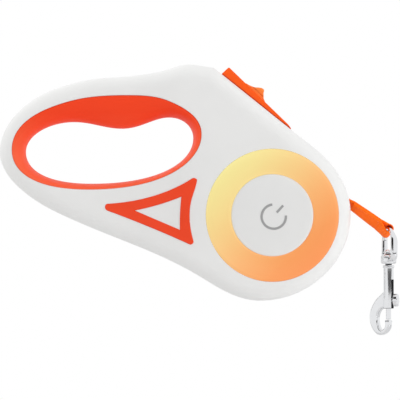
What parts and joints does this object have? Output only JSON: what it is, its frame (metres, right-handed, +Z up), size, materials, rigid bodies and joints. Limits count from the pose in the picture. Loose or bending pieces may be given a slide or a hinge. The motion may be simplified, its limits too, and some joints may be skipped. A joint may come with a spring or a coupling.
{
  "type": "retractable leash",
  "caption": "Retractable tape leash: two-shell casing with a hand loop, lit push button in a glowing ring, thumb brake lever with lock slider, and a swivel bolt hook at the end of the tape",
  "frame": {"origin": "middle of the hand opening, on the casing's parting plane", "axes": "+X from the handle to the tape mouth and hook, +Z up, -Y the lit side with the button"},
  "size_m": [0.1997, 0.0351, 0.1349],
  "materials": {
    "white_plastic": "white moulded plastic, satin",
    "grip_rubber": "orange-red soft moulded liner",
    "trim_plastic": "orange-red moulded inlay",
    "light_diffuser": "translucent, lit from behind",
    "button_plastic": "grey-white moulded plastic",
    "lever_plastic": "bright orange moulded plastic",
    "tape_webbing": "orange woven flat tape",
    "inner_plastic": "natural moulded plastic",
    "dark_plastic": "dark moulded plastic",
    "circuit_board": "solder-masked board",
    "led_lens": "clear lamp lens",
    "steel": "bright steel",
    "chrome": "chrome-plated die casting",
    "brass": "turned brass"
  },
  "bodies": {
    "casing": {"left_shell": "white_plastic", "right_shell": "white_plastic", "left_grip": "grip_rubber", "right_grip": "grip_rubber", "left_trim": "trim_plastic", "right_trim": "trim_plastic", "light_ring": "light_diffuser", "light_housing": "dark_plastic", "led_board": "circuit_board", "led_1": "led_lens", "led_2": "led_lens", "led_3": "led_lens", "led_4": "led_lens", "led_5": "led_lens", "led_6": "led_lens", "tact_switch": "dark_plastic", "battery_1": "steel", "battery_2": "steel", "button_spring": "steel", "axle": "steel", "axle_screw": "steel", "case_screw_1": "steel", "case_screw_2": "steel", "case_screw_3": "steel", "case_screw_4": "steel", "case_screw_5": "steel", "tape_guide": "inner_plastic", "brake_pin": "steel", "brake_spring": "steel", "mainspring": "steel"},
    "reel": {"reel": "inner_plastic", "reel_bush": "brass", "spring_cover": "inner_plastic", "tape_pack": "tape_webbing"},
    "tape": {"tape_leader": "tape_webbing"},
    "eye": {"hook_eye": "chrome"},
    "hook": {"hook_body": "chrome", "bolt_spring": "steel"},
    "bolt": {"hook_bolt": "chrome"},
    "brake": {"brake_lever": "lever_plastic"},
    "lock": {"lock_slider": "lever_plastic"},
    "light_button": {"power_button": "button_plastic"}
  },
  "joints": [
    {"name": "brake_press", "type": "hinge", "parent": "casing", "child": "brake", "pos_m": [0.08836, 0, 0.01156], "axis": [0, -1, 0], "range_deg": [0, 6], "stiffness_Nm_per_rad": 0.3, "springref_deg": -8.59, "deforming": ["brake_spring"]},
    {"name": "lock_slide", "type": "slide", "parent": "brake", "child": "lock", "axis": [0.7185, 0, -0.6955], "range_m": [0, 0.004]},
    {"name": "light_press", "type": "slide", "parent": "casing", "child": "light_button", "axis": [0, 1, 0], "range_m": [0, 0.001], "stiffness_N_per_m": 400, "springref_m": -0.0005, "deforming": ["button_spring"]},
    {"name": "reel_turn", "type": "hinge", "parent": "casing", "child": "reel", "pos_m": [0.0821, 0, -0.0316], "axis": [0, 1, 0], "range_deg": [0, 45], "stiffness_Nm_per_rad": 0.01, "springref_deg": -114.59, "deforming": ["mainspring"]},
    {"name": "tape_draw", "type": "slide", "parent": "casing", "child": "tape", "axis": [0.809, 0, -0.5878], "range_m": [0, 0.0217]},
    {"name": "eye_swing", "type": "hinge", "parent": "tape", "child": "eye", "pos_m": [0.1396, 0, -0.03939], "axis": [-0.2391, 0.9135, -0.3291], "range_deg": [-70, 35]},
    {"name": "hook_swivel", "type": "hinge", "parent": "eye", "child": "hook", "pos_m": [0.14023, -0.00238, -0.05624], "axis": [0, 0, 1], "continuous": true},
    {"name": "bolt_draw", "type": "slide", "parent": "hook", "child": "bolt", "axis": [0, 0, 1], "range_m": [0, 0.006], "stiffness_N_per_m": 150, "springref_m": -0.003, "deforming": ["bolt_spring"]}
  ],
  "couplings": [
    {"joint": "tape_draw", "follows": "reel_turn", "m_per_rad": 0.0275}
  ]
}
